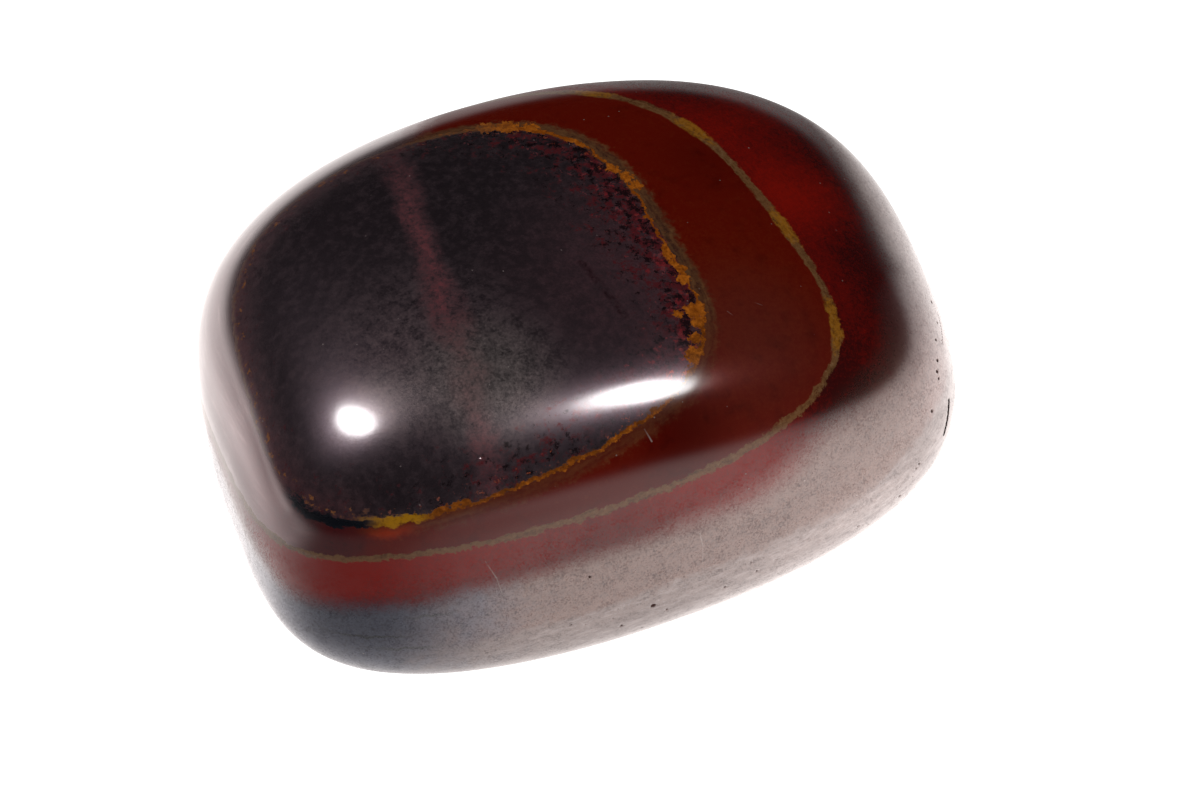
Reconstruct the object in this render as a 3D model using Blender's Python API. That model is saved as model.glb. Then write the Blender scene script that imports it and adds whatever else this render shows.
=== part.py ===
"""Banded ironstone: one tumbled and polished pebble, modelled in metres with +Z up.

The pebble is a rounded block. A cube's grid is thrown onto a sphere, squared up by two
power laws, scaled to the stone's half sizes, and then skewed, leaned and tapered so that it
is as uneven as a tumbled stone is. A plane cuts the small flat spot it rests on.
"""

from math import pi, tan, tanh

import bmesh
import bpy
from mathutils import Vector

# Driving dimensions, in metres
HALF_LENGTH = 0.018
HALF_WIDTH = 0.01285
TOP_HEIGHT = 0.00905
BOTTOM_DEPTH = 0.0095
REST_CUT = 0.00025

# How square each outline is: 2 is an ellipse, and a larger power is boxier
PLAN_POWER = 2.1
UPPER_POWER = 3.1
LOWER_POWER = 2.4

# How sharply the lower half's shape gives way to the upper half's
SHOULDER_SHARPNESS = 1.2

# Uneven wear along the length: shares of it, and distances, at a full step up or across
LENGTH_LOSS_UPWARDS = 0.075
LENGTH_GAIN_AT_BACK = 0.04
LENGTH_GAIN_AT_SIDES = 0.33
TOP_LEAN_X = -0.00225
SIDE_SKEW_X = 0.0011
SIDE_BOW_X = -0.0006

# Uneven wear across the width, in the same way
WIDTH_LOSS_UPWARDS = 0.065
WIDTH_GAIN_AT_ENDS = 0.025
TOP_LEAN_Y = 0.0003
BOTTOM_LEAN_Y = 0.0021
END_BOW_Y = -0.0016

# Uneven wear of the top and the bottom, in the same way
TOP_LOSS_TO_RIGHT = 0.125
TOP_LOSS_AT_BACK = 0.055
TOP_TWIST = 0.04
TOP_DROP_AT_ENDS = 0.0014
TOP_RISE_AT_SIDES = 0.0008
BOTTOM_GAIN_TO_RIGHT = 0.085
BOTTOM_GAIN_AT_BACK = 0.07

# Mesh fineness
CELLS_PER_SIDE = 22
RIM_MERGE = 0.0001

STONE_COLOUR = (0.055, 0.026, 0.026, 1.0)
STONE_ROUGHNESS = 0.12
STONE_METALLIC = 0.25


def clear_scene():
    """Remove every object the file opened with."""
    for item in list(bpy.data.objects):
        bpy.data.objects.remove(item, do_unlink=True)


def upper_share(step_up):
    """0 in the lower half, 1 in the upper half, with a soft change at the widest part."""
    return 0.5 + 0.5 * tanh(SHOULDER_SHARPNESS * step_up)


def squared_direction(direction):
    """Push a unit direction out to the squared-up ball; its parts then run from -1 to 1."""
    along, across, up = direction
    plan = (abs(along) ** PLAN_POWER + abs(across) ** PLAN_POWER) ** (1 / PLAN_POWER)
    power = LOWER_POWER + (UPPER_POWER - LOWER_POWER) * upper_share(up)
    reach = (plan ** power + abs(up) ** power) ** (-1 / power)
    return direction * reach


def stone_point(direction):
    """The point of the stone's surface that lies in a unit direction from its middle."""
    along, across, up = squared_direction(direction)
    upper = upper_share(up)
    lower = 1 - upper

    length_scale = (
        1
        - LENGTH_LOSS_UPWARDS * up
        + LENGTH_GAIN_AT_BACK * across
        + LENGTH_GAIN_AT_SIDES * across ** 2
    )
    x = HALF_LENGTH * along * length_scale
    x += TOP_LEAN_X * up * upper + SIDE_SKEW_X * across + SIDE_BOW_X * across ** 2

    width_scale = 1 - WIDTH_LOSS_UPWARDS * up + WIDTH_GAIN_AT_ENDS * along ** 2
    y = HALF_WIDTH * across * width_scale
    y += TOP_LEAN_Y * up * upper + BOTTOM_LEAN_Y * up * lower + END_BOW_Y * along ** 2

    top_scale = 1 - TOP_LOSS_TO_RIGHT * along - TOP_LOSS_AT_BACK * across + TOP_TWIST * along * across
    top_z = TOP_HEIGHT * up * top_scale
    top_z += TOP_RISE_AT_SIDES * across ** 2 - TOP_DROP_AT_ENDS * along ** 2
    bottom_scale = 1 + BOTTOM_GAIN_TO_RIGHT * along + BOTTOM_GAIN_AT_BACK * across
    bottom_z = BOTTOM_DEPTH * up * bottom_scale
    return Vector((x, y, top_z * upper + bottom_z * lower))


def make_ball_grid(cells):
    """A cube's grid, spaced by equal angles, with every corner moved to the stone's surface."""
    bm = bmesh.new()
    bmesh.ops.create_cube(bm, size=2)
    bmesh.ops.subdivide_edges(bm, edges=bm.edges[:], cuts=cells - 1, use_grid_fill=True)
    for vert in bm.verts:
        direction = Vector([tan(part * pi / 4) for part in vert.co]).normalized()
        vert.co = stone_point(direction)
    return bm


def cut_rest_face(bm):
    """Cut the flat spot under the stone and close it with one face."""
    lowest = min(vert.co.z for vert in bm.verts)
    whole = bm.verts[:] + bm.edges[:] + bm.faces[:]
    bmesh.ops.bisect_plane(
        bm,
        geom=whole,
        plane_co=(0, 0, lowest + REST_CUT),
        plane_no=(0, 0, -1),
        clear_outer=True,
    )
    rim = [edge for edge in bm.edges if edge.is_boundary]
    rim_verts = list({vert for edge in rim for vert in edge.verts})
    bmesh.ops.remove_doubles(bm, verts=rim_verts, dist=RIM_MERGE)
    rim = [edge for edge in bm.edges if edge.is_boundary]
    bmesh.ops.holes_fill(bm, edges=rim, sides=0)


def stand_at_origin(bm):
    """Move the middle of the stone's box over the origin, with its flat spot at height 0."""
    lowest = Vector([min(vert.co[axis] for vert in bm.verts) for axis in range(3)])
    highest = Vector([max(vert.co[axis] for vert in bm.verts) for axis in range(3)])
    middle = (lowest + highest) / 2
    base = Vector((middle.x, middle.y, lowest.z))
    bmesh.ops.translate(bm, verts=bm.verts[:], vec=-base)


def stone_material():
    """Dark polished ironstone."""
    material = bpy.data.materials.new("polished_ironstone")
    material.use_nodes = True
    shader = material.node_tree.nodes["Principled BSDF"]
    shader.inputs["Base Color"].default_value = STONE_COLOUR
    shader.inputs["Roughness"].default_value = STONE_ROUGHNESS
    shader.inputs["Metallic"].default_value = STONE_METALLIC
    return material


def make_stone(collection):
    """Build the pebble as one closed solid."""
    bm = make_ball_grid(CELLS_PER_SIDE)
    cut_rest_face(bm)
    stand_at_origin(bm)
    bmesh.ops.recalc_face_normals(bm, faces=bm.faces[:])
    mesh = bpy.data.meshes.new("banded_ironstone")
    bm.to_mesh(mesh)
    bm.free()
    mesh.shade_smooth()
    mesh.set_sharp_from_angle(angle=pi / 6)
    mesh.materials.append(stone_material())
    stone = bpy.data.objects.new("banded_ironstone", mesh)
    collection.objects.link(stone)
    return stone


def main():
    clear_scene()
    collection = bpy.data.collections.new("Banded ironstone")
    bpy.context.scene.collection.children.link(collection)
    make_stone(collection)


main()
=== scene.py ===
from collections import namedtuple
from math import cos, pi, radians, sin, tan, tanh
from random import Random

import bmesh
import bpy
from bpy.props import FloatProperty, FloatVectorProperty, IntProperty, PointerProperty
from mathutils import Matrix, Vector, noise
from mathutils.kdtree import KDTree


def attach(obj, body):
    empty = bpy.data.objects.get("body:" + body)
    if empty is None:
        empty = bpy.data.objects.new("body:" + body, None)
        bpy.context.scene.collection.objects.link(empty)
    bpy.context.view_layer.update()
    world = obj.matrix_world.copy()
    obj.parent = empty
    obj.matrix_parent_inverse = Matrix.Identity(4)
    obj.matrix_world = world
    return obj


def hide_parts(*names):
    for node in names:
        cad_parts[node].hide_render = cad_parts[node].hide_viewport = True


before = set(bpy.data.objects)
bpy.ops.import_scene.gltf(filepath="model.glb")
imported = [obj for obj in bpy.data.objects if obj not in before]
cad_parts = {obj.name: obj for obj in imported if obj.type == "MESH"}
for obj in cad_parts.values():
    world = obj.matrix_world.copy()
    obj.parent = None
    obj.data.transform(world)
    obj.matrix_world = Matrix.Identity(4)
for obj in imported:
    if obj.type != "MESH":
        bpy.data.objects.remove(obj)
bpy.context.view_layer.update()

bl_info = {
    "name": "Banded Ironstone Pebble",
    "version": (1, 0, 0),
    "blender": (4, 5, 0),
    "location": "3D View > Sidebar > Ironstone",
    "description": "Builds a tumbled pebble of banded ironstone and the plain stage it lies on",
    "category": "Add Mesh",
}

STONE_NODE = "banded_ironstone"
MILLIMETRE = 0.001
WEAR = "wear_depth"


# Sizes and colours that a user may change

def length(name, description, default):
    return FloatProperty(name=name, description=description, default=default, unit="LENGTH", precision=5)


def colour(name, description, default):
    return FloatVectorProperty(
        name=name, description=description, default=default, size=3, min=0.0, max=1.0, subtype="COLOR"
    )


class IronstoneShape(bpy.types.PropertyGroup):
    """The pebble's driving sizes."""

    half_length: length("Half length", "Half of the pebble along X", 0.018)
    half_width: length("Half width", "Half of the pebble along Y", 0.01285)
    top_height: length("Top height", "From the widest part up to the crown", 0.00905)
    bottom_depth: length("Bottom depth", "From the widest part down to the underside", 0.0095)
    rest_cut: length("Rest cut", "How deep the flat spot is worn", 0.00025)
    waviness: length("Waviness", "How far the polish swells and dips", 0.000014)
    cells: IntProperty(name="Cells", description="Grid cells along each side", default=108, min=8, max=124)


class IronstoneColours(bpy.types.PropertyGroup):
    """The minerals' colours, as linear light."""

    ore_sheen: colour("Ore sheen", "Mirror colour of the iron ore", (0.108, 0.060, 0.046))
    ore_body: colour("Ore body", "Dull colour of the iron ore", (0.050, 0.025, 0.020))
    blue_sheen: colour("Blue sheen", "Mirror colour of the bluer ore", (0.050, 0.055, 0.082))
    blue_body: colour("Blue body", "Dull colour of the bluer ore", (0.014, 0.015, 0.032))
    pale_sheen: colour("Pale sheen", "Mirror colour of the pale low band", (0.134, 0.098, 0.089))
    pale_body: colour("Pale body", "Dull colour of the pale low band", (0.056, 0.038, 0.034))
    cap_sheen: colour("Cap sheen", "Mirror colour of the dark cap", (0.112, 0.093, 0.102))
    cap_body: colour("Cap body", "Dull colour of the dark cap", (0.0290, 0.0065, 0.0180))
    cap_cloud: colour("Cap cloud", "Paler purple mottling of the cap", (0.150, 0.078, 0.088))
    streak: colour("Streak", "Maroon streak across the cap", (0.230, 0.028, 0.036))
    fleck: colour("Fleck", "Red flecks beside the ochre vein", (0.150, 0.007, 0.010))
    west: colour("Maroon rim", "Where the inner ring pinches out", (0.090, 0.012, 0.014))
    inner_jasper: colour("Inner jasper", "Red ring inside the olive vein", (0.148, 0.0070, 0.0020))
    inner_glow: colour("Inner glow", "Browner middle of the inner ring", (0.172, 0.0150, 0.0042))
    outer_jasper: colour("Outer jasper", "Red ring outside the olive vein", (0.310, 0.0095, 0.0045))
    dark_jasper: colour("Dark jasper", "Where the red fades into ore", (0.050, 0.0055, 0.0055))
    ochre: colour("Ochre", "Ochre vein", (0.360, 0.085, 0.006))
    bright_ochre: colour("Bright ochre", "Orange clumps of the ochre vein", (0.72, 0.205, 0.018))
    yellow: colour("Yellow", "Yellow start of the ochre vein", (0.56, 0.260, 0.012))
    olive: colour("Olive", "Olive vein and halo", (0.225, 0.108, 0.042))
    gold: colour("Gold", "Golden stretches of the olive vein", (0.420, 0.170, 0.016))
    ink: colour("Ink", "Blue-black lens at the left end of the ochre vein", (0.006, 0.008, 0.014))


class IronstoneStudio(bpy.types.PropertyGroup):
    """The stage's sizes and brightnesses."""

    camera_azimuth: FloatProperty(
        name="Camera azimuth", description="Turn of the camera about Z from the front",
        default=radians(-22.02), subtype="ANGLE",
    )
    camera_elevation: FloatProperty(
        name="Camera elevation", description="Camera's height above the horizon",
        default=radians(50.5), subtype="ANGLE",
    )
    camera_distance: length("Camera distance", "From the camera to the point it looks at", 0.1593)
    lens: FloatProperty(
        name="Lens", description="Focal length in millimetres on a 36 mm frame", default=100.0, min=20.0
    )
    floor_size: length("Floor size", "Side of the square floor", 1.2)
    floor_glow: FloatProperty(
        name="Floor glow", description="How bright the camera sees the pale floor", default=1.35, min=0.0
    )
    lamp_distance: length("Lamp distance", "From the pebble to each lamp", 0.5)
    lamp_glow: FloatProperty(
        name="Lamp glow", description="Power of each lamp in watts for each square metre of it",
        default=32.0, min=0.0,
    )


# The pebble's outline, the same rounded block as its solid in the frame

PLAN_POWER = 2.1
UPPER_POWER = 3.1
LOWER_POWER = 2.4
SHOULDER_SHARPNESS = 1.2

LENGTH_LOSS_UPWARDS = 0.075
LENGTH_GAIN_AT_BACK = 0.04
LENGTH_GAIN_AT_SIDES = 0.33
TOP_LEAN_X = -0.00225
SIDE_SKEW_X = 0.0011
SIDE_BOW_X = -0.0006

WIDTH_LOSS_UPWARDS = 0.065
WIDTH_GAIN_AT_ENDS = 0.025
TOP_LEAN_Y = 0.0003
BOTTOM_LEAN_Y = 0.0021
END_BOW_Y = -0.0016

TOP_LOSS_TO_RIGHT = 0.125
TOP_LOSS_AT_BACK = 0.055
TOP_TWIST = 0.04
TOP_DROP_AT_ENDS = 0.0014
TOP_RISE_AT_SIDES = 0.0008
BOTTOM_GAIN_TO_RIGHT = 0.085
BOTTOM_GAIN_AT_BACK = 0.07


def upper_share(step_up):
    """0 in the lower half, 1 in the upper half, with a soft change at the widest part."""
    return 0.5 + 0.5 * tanh(SHOULDER_SHARPNESS * step_up)


def squared_direction(direction):
    """Push a unit direction out to the squared-up ball; its parts then run from -1 to 1."""
    along, across, up = direction
    plan = (abs(along) ** PLAN_POWER + abs(across) ** PLAN_POWER) ** (1 / PLAN_POWER)
    power = LOWER_POWER + (UPPER_POWER - LOWER_POWER) * upper_share(up)
    reach = (plan ** power + abs(up) ** power) ** (-1 / power)
    return direction * reach


def stone_point(shape, direction):
    """The point of the stone's surface that lies in a unit direction from its middle."""
    along, across, up = squared_direction(direction)
    upper = upper_share(up)
    lower = 1 - upper

    length_scale = (
        1
        - LENGTH_LOSS_UPWARDS * up
        + LENGTH_GAIN_AT_BACK * across
        + LENGTH_GAIN_AT_SIDES * across ** 2
    )
    x = shape.half_length * along * length_scale
    x += TOP_LEAN_X * up * upper + SIDE_SKEW_X * across + SIDE_BOW_X * across ** 2

    width_scale = 1 - WIDTH_LOSS_UPWARDS * up + WIDTH_GAIN_AT_ENDS * along ** 2
    y = shape.half_width * across * width_scale
    y += TOP_LEAN_Y * up * upper + BOTTOM_LEAN_Y * up * lower + END_BOW_Y * along ** 2

    top_scale = 1 - TOP_LOSS_TO_RIGHT * along - TOP_LOSS_AT_BACK * across + TOP_TWIST * along * across
    top_z = shape.top_height * up * top_scale
    top_z += TOP_RISE_AT_SIDES * across ** 2 - TOP_DROP_AT_ENDS * along ** 2
    bottom_scale = 1 + BOTTOM_GAIN_TO_RIGHT * along + BOTTOM_GAIN_AT_BACK * across
    bottom_z = shape.bottom_depth * up * bottom_scale
    return Vector((x, y, top_z * upper + bottom_z * lower))


def cube_direction(point):
    """The unit direction of a point on the cube's grid, spaced by equal angles."""
    return Vector([tan(part * pi / 4) for part in point]).normalized()


# Wear on the polished surface. Every place and size is in millimetres of the frame.

Pit = namedtuple("Pit", "place radius depth")
Groove = namedtuple("Groove", "start middle end half_width depth")

PITS = [
    Pit((-1.8, -13.1, 6.5), 0.20, 0.075),
    Pit((-4.6, -12.6, 9.5), 0.13, 0.050),
    Pit((-5.8, -13.0, 6.9), 0.12, 0.040),
    Pit((-5.1, -13.1, 6.6), 0.10, 0.035),
    Pit((16.4, -4.2, 10.5), 0.14, 0.060),
    Pit((16.1, -5.4, 10.4), 0.11, 0.050),
    Pit((15.5, -6.6, 10.8), 0.11, 0.050),
    Pit((15.0, -7.6, 10.5), 0.13, 0.060),
    Pit((14.8, -8.1, 10.3), 0.15, 0.060),
    Pit((14.8, -8.3, 10.0), 0.12, 0.050),
    Pit((14.0, -9.4, 9.3), 0.14, 0.050),
    Pit((-8.5, -9.5, 16.6), 0.12, 0.040),
    Pit((12.3, -1.6, 14.7), 0.09, 0.030),
    Pit((2.1, -12.3, 10.7), 0.09, 0.030),
]

# The crack at the right end. Its darkening is drawn as a line too, which is finer than the mesh.
CRACK = Groove((15.46, -8.44, 8.28), (15.25, -8.91, 7.79), (14.83, -9.43, 7.20), 0.10, 0.20)
GROOVES = [
    CRACK,
    Groove((16.6, -4.4, 9.9), (16.2, -5.6, 9.9), (15.8, -6.5, 10.1), 0.07, 0.05),
]

# Light scratches in the polish, as straight lines from place to place
Scratch = namedtuple("Scratch", "start end half_width strength")
SCRATCHES = [
    Scratch((-9.3, -11.7, 12.0), (-8.9, -12.0, 10.9), 0.035, 0.7),
    Scratch((-8.9, -12.0, 10.9), (-8.7, -12.3, 9.7), 0.030, 0.5),
    Scratch((0.8, -12.5, 10.0), (0.9, -12.7, 9.2), 0.035, 0.5),
    Scratch((0.9, -12.7, 9.2), (0.8, -12.9, 8.2), 0.030, 0.4),
    Scratch((-1.1, -10.3, 15.9), (-0.9, -10.7, 15.4), 0.040, 0.8),
    Scratch((4.6, -6.3, 17.15), (5.2, -7.1, 16.95), 0.025, 0.28),
    Scratch((5.4, -5.6, 17.0), (6.4, -6.2, 16.7), 0.025, 0.22),
]

# Small pits strewn along the pale band low on the stone's front
STREWN_PITS = 30
STREWN_SEED = 11
STREWN_X = -5.0, 14.0
STREWN_Y = -13.0
STREWN_Z = 4.6, 7.6
STREWN_RADIUS = 0.06, 0.14
STREWN_STEEPNESS = 0.25, 0.45

# Dents to a groove, the unevenness of every dent's edge, and the finer mesh around dents
GROOVE_STEPS = 40
RAGGEDNESS = 0.3
RAGGED_SCALE = 6.0
REFINE_REACH = 0.16
REFINE_ROUNDS = 2


class WearMap:
    """Finds how deep the wear is at a point of the surface."""

    def __init__(self):
        self.dents = []
        for pit in PITS:
            self.dents.append((Vector(pit.place), pit.radius, pit.depth))
        for groove in GROOVES:
            self.add_groove(groove)
        self.strew_pits(Random(STREWN_SEED))

    def strew_pits(self, chance):
        """Small pits along the pale band at the front."""
        for _ in range(STREWN_PITS):
            place = Vector((chance.uniform(*STREWN_X), STREWN_Y, chance.uniform(*STREWN_Z)))
            radius = chance.uniform(*STREWN_RADIUS)
            self.dents.append((place, radius, radius * chance.uniform(*STREWN_STEEPNESS)))

    def add_groove(self, groove):
        """A groove is a row of small dents along a bent line, shallower towards its ends."""
        start, middle, end = (Vector(place) for place in (groove.start, groove.middle, groove.end))
        control = 2 * middle - (start + end) / 2
        for step in range(GROOVE_STEPS + 1):
            share = step / GROOVE_STEPS
            place = (1 - share) ** 2 * start + 2 * share * (1 - share) * control + share ** 2 * end
            taper = sin(pi * (0.06 + 0.88 * share)) ** 0.5
            self.dents.append((place, groove.half_width * (0.55 + 0.45 * taper), groove.depth * taper))

    def snap(self, points):
        """Move every dent's middle to the nearest of the surface's points."""
        surface = KDTree(len(points))
        for number, point in enumerate(points):
            surface.insert(point, number)
        surface.balance()
        self.dents = [(surface.find(place)[0].copy(), *rest) for place, *rest in self.dents]

    def balance(self):
        """Make the lookup, once every dent is in place."""
        self.lookup = KDTree(len(self.dents))
        for number, (place, _, _) in enumerate(self.dents):
            self.lookup.insert(place, number)
        self.lookup.balance()
        self.widest = max(radius for _, radius, _ in self.dents)

    def is_near(self, point):
        """True if a point lies within the finer mesh's reach of a dent."""
        found = self.lookup.find_range(point, self.widest + REFINE_REACH)
        return any(distance < self.dents[number][1] + REFINE_REACH for _, number, distance in found)

    def depth(self, point):
        """The deepest dent's depth at a point, with ragged edges."""
        deepest = 0.0
        for _, number, distance in self.lookup.find_range(point, self.widest * (1 + RAGGEDNESS)):
            _, radius, depth = self.dents[number]
            ragged = radius * (1 + RAGGEDNESS * noise.noise(point * RAGGED_SCALE))
            if distance < ragged:
                bowl = (1 - (distance / ragged) ** 2) ** 2
                deepest = max(deepest, depth * bowl)
        return deepest


# The pebble's mesh

def make_cube_grid(cells):
    """A cube's surface cut into a square grid."""
    bm = bmesh.new()
    bmesh.ops.create_cube(bm, size=2)
    bmesh.ops.subdivide_edges(bm, edges=bm.edges[:], cuts=cells - 1, use_grid_fill=True)
    return bm


def stone_base(shape, cells=24):
    """Where the stone's box and its lowest point lie, before the flat spot is cut."""
    bm = make_cube_grid(cells)
    points = [stone_point(shape, cube_direction(vert.co)) for vert in bm.verts]
    bm.free()
    lowest = Vector([min(point[axis] for point in points) for axis in range(3)])
    highest = Vector([max(point[axis] for point in points) for axis in range(3)])
    middle = (lowest + highest) / 2
    return Vector((middle.x, middle.y, lowest.z + shape.rest_cut))


def refine_worn_places(bm, placed, wear):
    """Cut the grid finer around every dent."""
    for _ in range(REFINE_ROUNDS):
        edges = set()
        for face in bm.faces:
            if wear.is_near(placed(face.calc_center_median())):
                edges.update(face.edges)
        bmesh.ops.subdivide_edges(bm, edges=list(edges), cuts=1, use_grid_fill=True)


# Scales of the surface's broad and fine swells, in waves for each millimetre
BROAD_SWELL_SCALE = 0.16
FINE_SWELL_SCALE = 0.45
FINE_SWELL_SHIFT = Vector((7, 3, 1))


def swell(point, height):
    """Gentle rise and fall of the hand-smooth surface, from broad to fine."""
    broad = noise.noise(point * BROAD_SWELL_SCALE)
    fine = noise.noise(point * FINE_SWELL_SCALE + FINE_SWELL_SHIFT)
    return height * (1.6 * broad + 0.5 * fine)


def make_stone_mesh(shape):
    """The finished pebble as one closed mesh in the frame's place."""
    bm = make_cube_grid(shape.cells)
    base = stone_base(shape)

    def placed(cube_point):
        return (stone_point(shape, cube_direction(cube_point)) - base) / MILLIMETRE

    wear = WearMap()
    wear.snap([placed(vert.co) for vert in bm.verts])
    wear.balance()
    refine_worn_places(bm, placed, wear)
    for vert in bm.verts:
        vert.co = placed(vert.co)
    bm.normal_update()
    moves = []
    worn = bm.verts.layers.float.new(WEAR)
    for vert in bm.verts:
        depth = wear.depth(vert.co)
        vert[worn] = depth
        moves.append(vert.normal * (swell(vert.co, shape.waviness / MILLIMETRE) - depth))
    for vert, move in zip(bm.verts, moves):
        vert.co += move

    bmesh.ops.bisect_plane(
        bm,
        geom=bm.verts[:] + bm.edges[:] + bm.faces[:],
        plane_co=(0, 0, 0),
        plane_no=(0, 0, -1),
        clear_outer=True,
    )
    rim = [edge for edge in bm.edges if edge.is_boundary]
    bmesh.ops.holes_fill(bm, edges=rim, sides=0)
    bmesh.ops.scale(bm, vec=Vector((MILLIMETRE,) * 3), verts=bm.verts[:])
    bmesh.ops.recalc_face_normals(bm, faces=bm.faces[:])
    mesh = bpy.data.meshes.new("tumbled_ironstone")
    bm.to_mesh(mesh)
    bm.free()
    mesh.shade_smooth()
    return mesh


# Shader maths

class Value:
    """A shader socket that works like a number: an expression adds its Math nodes."""

    def __init__(self, tree, socket):
        self.tree = tree
        self.socket = socket

    def math(self, operation, *others):
        return self.tree.math(operation, self, *others)

    def __add__(self, other):
        return self.math("ADD", other)

    def __radd__(self, other):
        return self.tree.math("ADD", other, self)

    def __sub__(self, other):
        return self.math("SUBTRACT", other)

    def __rsub__(self, other):
        return self.tree.math("SUBTRACT", other, self)

    def __mul__(self, other):
        return self.math("MULTIPLY", other)

    def __rmul__(self, other):
        return self.tree.math("MULTIPLY", other, self)

    def __truediv__(self, other):
        return self.math("DIVIDE", other)

    def __pow__(self, other):
        return self.math("POWER", other)

    def __abs__(self):
        return self.math("ABSOLUTE")

    def most(self, other):
        return self.math("MAXIMUM", other)

    def least(self, other):
        return self.math("MINIMUM", other)

    def rise(self, start, end):
        """0 at start, 1 at end, with a smooth step between."""
        return self.tree.node(
            "ShaderNodeMapRange",
            {"interpolation_type": "SMOOTHSTEP"},
            {"Value": self, "From Min": start, "From Max": end},
        )

    def bell(self, middle, half_width):
        """1 at the middle, 0 beyond half_width on either side."""
        return abs(self - middle).rise(half_width, 0.0)


class Tree:
    """A node tree and the one method that adds nodes to it."""

    def __init__(self, node_tree):
        self.nodes = node_tree.nodes
        self.links = node_tree.links

    def node(self, kind, settings=None, sockets=None, output=0):
        """Add a node, set it up, feed its sockets, and give one of its outputs."""
        added = self.nodes.new(kind)
        for name, setting in (settings or {}).items():
            setattr(added, name, setting)
        for name, value in (sockets or {}).items():
            self.feed(added.inputs[name], value)
        return Value(self, added.outputs[output])

    def feed(self, socket, value):
        """Link a socket to a Value, or set it to a number or a colour."""
        if isinstance(value, Value):
            self.links.new(value.socket, socket)
        elif socket.type == "RGBA":
            socket.default_value = (*value[:3], 1.0)
        else:
            socket.default_value = value

    def math(self, operation, *values):
        return self.node("ShaderNodeMath", {"operation": operation}, dict(enumerate(values)))

    def vector(self, operation, *values, output=0):
        return self.node("ShaderNodeVectorMath", {"operation": operation}, dict(enumerate(values)), output)

    def blend(self, share, first, second):
        """A colour between two, by a share from 0 to 1."""
        return self.node(
            "ShaderNodeMix",
            {"data_type": "RGBA"},
            {"Factor": share, 6: first, 7: second},
            output=2,
        )

    def noise(self, place, scale, detail, roughness=0.5):
        """Noise about 0, from about -0.5 to 0.5."""
        return self.node(
            "ShaderNodeTexNoise",
            None,
            {"Vector": place, "Scale": scale, "Detail": detail, "Roughness": roughness},
        ) - 0.5

    def spots(self, place, scale):
        """Distance to the nearest of many strewn points, in shares of their spacing."""
        return self.node(
            "ShaderNodeTexVoronoi",
            None,
            {"Vector": place, "Scale": scale},
            output="Distance",
        )


# The bands. Each is a gently bent sheet through the stone, in millimetres of the frame.

SHEET_LENGTH = 18.0
SHEET_WIDTH = 13.0
Sheet = namedtuple("Sheet", "level x xx xxx y yy yyy xy xxy xyy")

OCHRE_SHEET = Sheet(17.34, 2.14, 0.50, 0.92, 0.41, -0.02, 1.47, -0.21, -0.01, 0.05)
OLIVE_SHEET = Sheet(14.50, 3.19, 0.13, 0.57, 1.09, 0.41, 0.85, 1.98, -1.08, -0.64)
ORE_SHEET = Sheet(13.35, 1.30, -1.90, 0.24, 1.54, -1.01, -0.28, -0.08, -1.30, -1.00)

# The way the sheets face, for how slantwise the surface cuts them
SHEET_NORMAL = (-0.13, -0.08, 0.988)
LEAST_SLANT = 0.24


def sheet_height(sheet, x, y):
    """Height of a sheet above a place in shares of the length and the width."""
    along = x * (sheet.x + x * (sheet.xx + x * sheet.xxx))
    across = y * (sheet.y + y * (sheet.yy + y * sheet.yyy))
    twist = x * y * (sheet.xy + x * sheet.xxy + y * sheet.xyy)
    return along + across + twist + sheet.level


# Tints that the markings take, as linear light. A sheen is a mirror colour.

NO_SHEEN = (0.0, 0.0, 0.0)
SHADED_ORE_SHEEN = (0.035, 0.026, 0.028)
WISP_SHEEN = (0.215, 0.178, 0.170)
BLOT_SHEEN = (0.054, 0.038, 0.038)
INKY_ORE = (0.006, 0.006, 0.014)
INKY_ORE_SHEEN = (0.020, 0.022, 0.036)
RUDDY_ORE = (0.090, 0.012, 0.014)
HEM_SHEEN = (0.035, 0.018, 0.018)
ORE_LINE = (0.004, 0.004, 0.006)
ORE_LINE_SHEEN = (0.010, 0.010, 0.012)

DUSKY_JASPER = (0.075, 0.003, 0.0012)
# Painted highlight glow on the red ring, around the front lamp's highlight
JASPER_HIGHLIGHT_GLOW_SHEEN = (0.022, 0.015, 0.013)
PALE_RIM = (0.085, 0.030, 0.032)
DARK_RIM = (0.030, 0.010, 0.012)
RIM_SHEEN = (0.080, 0.066, 0.070)
RIM_WISP_SHEEN = (0.165, 0.140, 0.140)

CAP_BLUSH = (0.132, 0.020, 0.034)
CAP_PITH = (0.006, 0.002, 0.005)
CAP_VEIL = (0.190, 0.118, 0.120)
CAP_EDGE = (0.120, 0.032, 0.038)
STREAK_THREAD = (0.340, 0.034, 0.040)
SEAM = (0.030, 0.001, 0.006)
RUBY = (0.330, 0.015, 0.020)
DARK_FLECK = (0.006, 0.001, 0.003)
EMBER = (0.400, 0.070, 0.012)
FLECKED_SHEEN = (0.018, 0.007, 0.009)
GRAINY_SHEEN = (0.040, 0.031, 0.035)
LIP_SHEEN = (0.030, 0.022, 0.024)
# Painted highlight glow on the cap, around and between the lamps' highlights
HIGHLIGHT_GLOW_SHEEN = (0.310, 0.275, 0.265)

OLIVE_CRUMB = (0.300, 0.190, 0.095)
OLIVE_GAP = (0.070, 0.026, 0.010)
HALO_BROWN = (0.075, 0.034, 0.020)
DEEP_OCHRE = (0.200, 0.060, 0.008)
OCHRE_GAP = (0.110, 0.022, 0.004)
FADED_OCHRE = (0.150, 0.085, 0.050)
ORANGE_GLOW = (0.420, 0.030, 0.001)
INK_SHEEN = (0.030, 0.035, 0.050)
OCHRE_SPECK = (0.360, 0.140, 0.050)
THIN_OCHRE = (0.200, 0.105, 0.055)

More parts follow.
